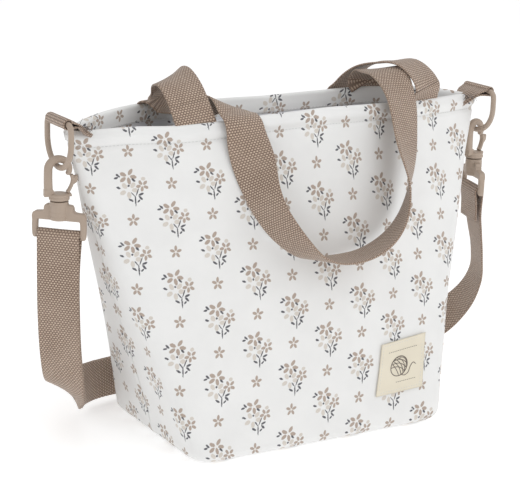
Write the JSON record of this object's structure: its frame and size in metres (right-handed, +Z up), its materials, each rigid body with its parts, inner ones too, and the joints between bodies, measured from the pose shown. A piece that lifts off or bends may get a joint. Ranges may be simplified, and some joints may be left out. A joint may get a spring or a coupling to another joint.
{
  "type": "knitting bag",
  "caption": "Small padded tote for knitting, with a boxed base, recessed zip, webbing carrying handles and a clip-on adjustable shoulder strap on side rings.",
  "frame": {"origin": "middle of the base on the floor", "axes": "+X to the right seen from the front, -Y to the front, +Z up"},
  "size_m": [0.3774, 0.1711, 0.2588],
  "materials": {
    "print_cloth": "matte",
    "wadding": "matte",
    "board": "matte",
    "lining_cloth": "matte",
    "zip_tape": "matte",
    "zip_chain": "satin",
    "zip_metal": "satin",
    "webbing": "matte",
    "hardware": "matte",
    "label_cloth": "matte"
  },
  "bodies": {
    "bag": {"outer_front_panel": "print_cloth", "outer_rear_panel": "print_cloth", "front_padding": "wadding", "rear_padding": "wadding", "base_padding": "wadding", "base_board": "board", "front_lining": "lining_cloth", "rear_lining": "lining_cloth", "front_facing": "print_cloth", "rear_facing": "print_cloth", "front_zip_flap": "print_cloth", "rear_zip_flap": "print_cloth", "front_zip_tape": "zip_tape", "rear_zip_tape": "zip_tape", "front_zip_chain": "zip_chain", "rear_zip_chain": "zip_chain", "zip_end_stops": "zip_metal", "left_side_tab": "webbing", "right_side_tab": "webbing", "front_handle_left_end": "webbing", "front_handle_right_end": "webbing", "rear_handle_legs": "webbing", "woven_label": "label_cloth"},
    "left_ring": {"left_d_ring": "hardware"},
    "right_ring": {"right_d_ring": "hardware"},
    "strap": {"shoulder_strap": "webbing", "left_swivel_base": "hardware", "right_swivel_base": "hardware"},
    "adjuster": {"strap_adjuster": "hardware", "strap_sewn_end": "webbing"},
    "left_hook": {"left_snap_hook": "hardware"},
    "right_hook": {"right_snap_hook": "hardware"},
    "left_gate": {"left_hook_gate": "hardware"},
    "right_gate": {"right_hook_gate": "hardware"},
    "slider": {"zip_slider": "zip_metal"},
    "pull": {"zip_pull": "zip_metal"},
    "front_riser": {"front_handle_risers": "webbing"},
    "front_loop": {"front_handle_loop": "webbing"},
    "rear_loop": {"rear_handle_loop": "webbing"}
  },
  "joints": [
    {"name": "strap_swing", "type": "hinge", "parent": "bag", "child": "strap", "pos_m": [0, 0.005, 0.2195], "axis": [1, 0, 0], "range_deg": [0, 80]},
    {"name": "left_ring_swing", "type": "hinge", "parent": "bag", "child": "left_ring", "pos_m": [-0.173, 0.005, 0.2315], "axis": [0, 1, 0], "range_deg": [-1.8, 1.8]},
    {"name": "right_ring_swing", "type": "hinge", "parent": "bag", "child": "right_ring", "pos_m": [0.173, 0.005, 0.2315], "axis": [0, 1, 0], "range_deg": [-1.8, 1.8]},
    {"name": "left_hook_swivel", "type": "hinge", "parent": "strap", "child": "left_hook", "pos_m": [-0.173, 0.005, 0.181], "axis": [0, 0, 1], "range_deg": [-6, 6]},
    {"name": "right_hook_swivel", "type": "hinge", "parent": "strap", "child": "right_hook", "pos_m": [0.173, 0.005, 0.181], "axis": [0, 0, 1], "range_deg": [-6, 6]},
    {"name": "left_gate_press", "type": "hinge", "parent": "left_hook", "child": "left_gate", "pos_m": [-0.16798, 0.00365, 0.184], "axis": [-0.2588, -0.9659, 0], "range_deg": [0, 18], "stiffness_Nm_per_rad": 0.02, "springref_deg": -5},
    {"name": "right_gate_press", "type": "hinge", "parent": "right_hook", "child": "right_gate", "pos_m": [0.17802, 0.00635, 0.184], "axis": [0.2588, -0.9659, 0], "range_deg": [0, 18], "stiffness_Nm_per_rad": 0.02, "springref_deg": -5},
    {"name": "adjuster_slide", "type": "slide", "parent": "strap", "child": "adjuster", "axis": [1, 0, 0], "range_m": [0, 0.06]},
    {"name": "zip_slide", "type": "slide", "parent": "bag", "child": "slider", "axis": [-1, 0, 0], "range_m": [0, 0.2]},
    {"name": "zip_pull_flip", "type": "hinge", "parent": "slider", "child": "pull", "pos_m": [0.1, 0.014, 0.2177], "axis": [0, -1, 0], "range_deg": [0, 150]},
    {"name": "front_handle_tilt", "type": "hinge", "parent": "bag", "child": "front_riser", "pos_m": [0.014, -0.01114, 0.22736], "axis": [0.9996, 0.0273, 0], "range_deg": [0, 35]},
    {"name": "front_handle_lift", "type": "hinge", "parent": "front_riser", "child": "front_loop", "pos_m": [0, 0.006, 0.2588], "axis": [1, 0, 0], "range_deg": [0, 145]},
    {"name": "rear_handle_lift", "type": "hinge", "parent": "bag", "child": "rear_loop", "pos_m": [0, -0.03057, 0.23207], "axis": [-1, 0, 0], "range_deg": [0, 110]}
  ],
  "couplings": [
    {"joint": "front_handle_tilt", "follows": "front_handle_lift", "ratio": 0.2412}
  ]
}
